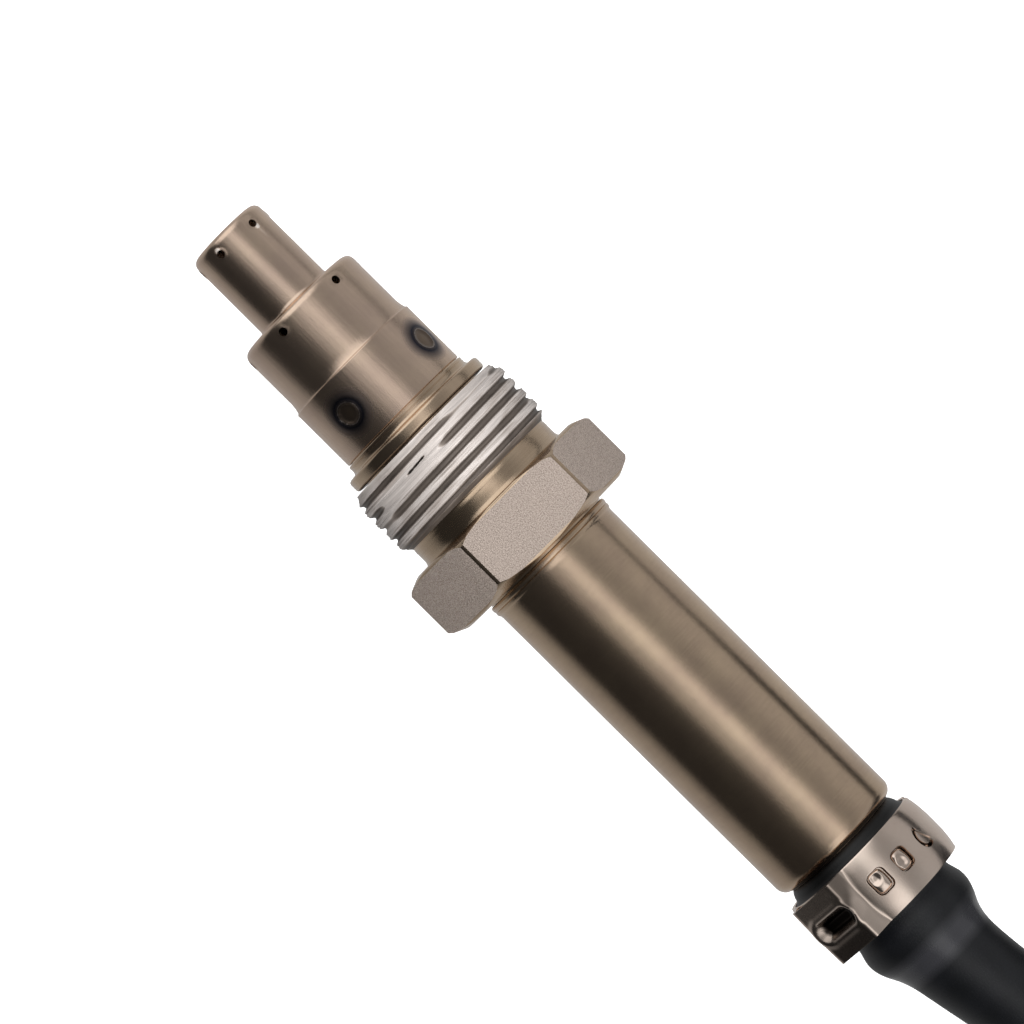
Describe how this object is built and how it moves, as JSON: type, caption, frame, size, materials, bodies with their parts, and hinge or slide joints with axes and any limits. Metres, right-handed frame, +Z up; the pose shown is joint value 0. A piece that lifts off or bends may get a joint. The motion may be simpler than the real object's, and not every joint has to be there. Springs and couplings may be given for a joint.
{
  "type": "nitrogen oxide sensor",
  "caption": "Exhaust nitrogen oxide sensor probe with perforated cover, captive threaded nut, clamped rubber boot and coiled lead.",
  "frame": {"origin": "on the probe's axis, in the middle of the nut's mounting thread", "axes": "+X along the probe towards its nose, +Z up with the probe lying on a flat of the hexagon, cable towards -X"},
  "size_m": [0.1819, 0.0988, 0.022],
  "materials": {
    "cover_steel": "satin, brown-grey from heat",
    "inner_steel": "satin",
    "fitting_steel": "turned, satin, brown-grey from heat",
    "nut_steel": "sintered look on the hexagon, bright worn thread",
    "sleeve_steel": "satin, brown-grey from heat",
    "clamp_steel": "bright rolled strip",
    "zirconia": "matte",
    "alumina": "matte",
    "talc": "matte",
    "contact_metal": "satin",
    "wire_sheath": "matte",
    "stopper_rubber": "matte",
    "boot_rubber": "matte",
    "cable_sheath": "matte",
    "strap_cloth": "matte",
    "seal_rubber": "matte",
    "connector_plastic": "moulded"
  },
  "bodies": {
    "probe": {"outer_cover": "cover_steel", "first_inner_cover": "inner_steel", "second_inner_cover": "inner_steel", "main_fitting": "fitting_steel", "sensor_element": "zirconia", "front_supporter": "alumina", "front_talc": "talc", "middle_supporter": "alumina", "rear_talc": "talc", "rear_supporter": "alumina", "metal_ring": "inner_steel", "inner_cylinder": "inner_steel", "outer_sleeve": "sleeve_steel", "upper_contact_holder": "alumina", "lower_contact_holder": "alumina", "upper_contacts": "contact_metal", "lower_contacts": "contact_metal", "holder_ring": "inner_steel", "lead_wires": "wire_sheath", "stopper": "stopper_rubber", "ear_clamp": "clamp_steel", "boot": "boot_rubber", "cable_lead": "cable_sheath", "cable_coil": "cable_sheath", "cable_tail": "cable_sheath", "coil_strap": "strap_cloth", "connector_cap": "connector_plastic", "connector_seal": "seal_rubber", "connector_housing": "connector_plastic", "connector_pins": "contact_metal"},
    "nut": {"union_nut": "nut_steel"}
  },
  "joints": [
    {"name": "nut_spin", "type": "hinge", "parent": "probe", "child": "nut", "pos_m": [0, 0, 0], "axis": [1, 0, 0], "continuous": true}
  ]
}
